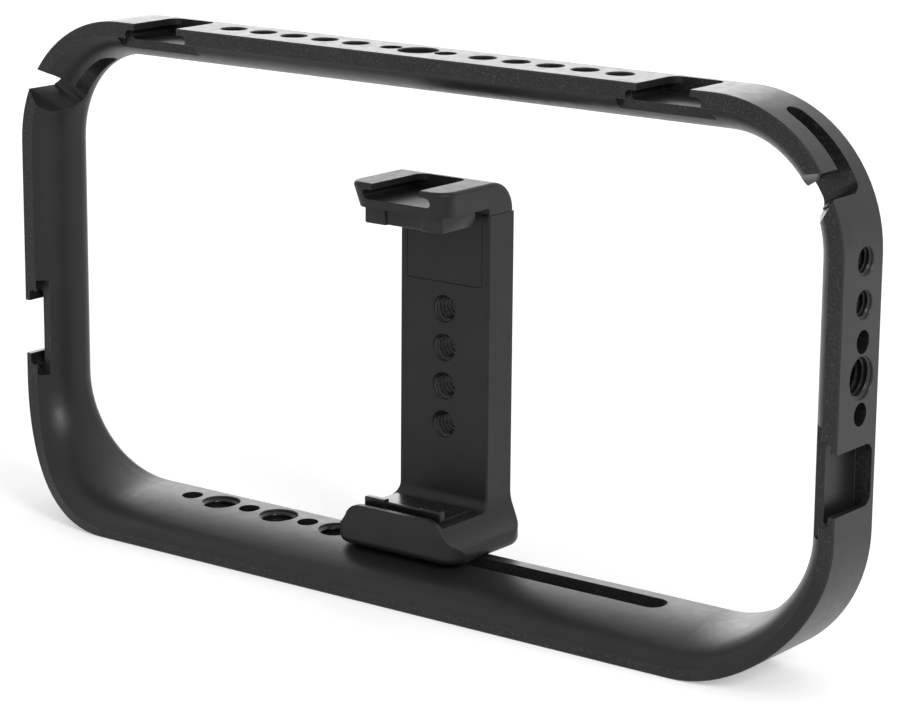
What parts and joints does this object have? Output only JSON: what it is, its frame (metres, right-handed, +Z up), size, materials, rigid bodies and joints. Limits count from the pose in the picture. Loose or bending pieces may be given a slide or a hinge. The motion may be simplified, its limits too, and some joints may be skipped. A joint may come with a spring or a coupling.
{
  "type": "smartphone camera cage",
  "caption": "Rounded rectangular phone cage with threaded holes, cold shoes, strap slots and a spring-closed phone clamp that slides along its base.",
  "frame": {"origin": "middle of the cage's width, on the plane it stands on, 1.1 mm behind the front face of the ring", "axes": "+X to the right along the cage, +Y from the phone's screen side to the back, +Z up"},
  "size_m": [0.2408, 0.0399, 0.1294],
  "materials": {
    "anodised": "satin black anodised, bead-blasted",
    "pad_rubber": "glossy black rubber",
    "bush_brass": "turned",
    "ground_steel": "ground",
    "spring_steel": "drawn wire",
    "fastener_steel": "black oxide",
    "plug_plastic": "matte black"
  },
  "bodies": {
    "cage": {"cage_frame": "anodised"},
    "clamp": {"clamp_body": "anodised", "lower_jaw_pad": "pad_rubber", "guide_bush_left": "bush_brass", "guide_bush_right": "bush_brass", "clamp_spring_left": "spring_steel", "clamp_spring_right": "spring_steel", "bore_plug_left": "plug_plastic", "bore_plug_right": "plug_plastic", "locating_pin_left": "ground_steel", "locating_pin_right": "ground_steel", "clamp_screw": "fastener_steel", "clamp_washer": "fastener_steel"},
    "jaw": {"upper_jaw": "anodised", "upper_jaw_pad": "pad_rubber", "guide_rod_left": "ground_steel", "guide_rod_right": "ground_steel", "rod_washer_left": "fastener_steel", "rod_washer_right": "fastener_steel", "rod_screw_left": "fastener_steel", "rod_screw_right": "fastener_steel"}
  },
  "joints": [
    {"name": "clamp_slide", "type": "slide", "parent": "cage", "child": "clamp", "axis": [1, 0, 0], "range_m": [-0.001, 0.059]},
    {"name": "jaw_slide", "type": "slide", "parent": "clamp", "child": "jaw", "axis": [0, 0, 1], "range_m": [0, 0.016], "stiffness_N_per_m": 300, "springref_m": -0.015, "deforming": ["clamp_spring_left", "clamp_spring_right"]}
  ]
}
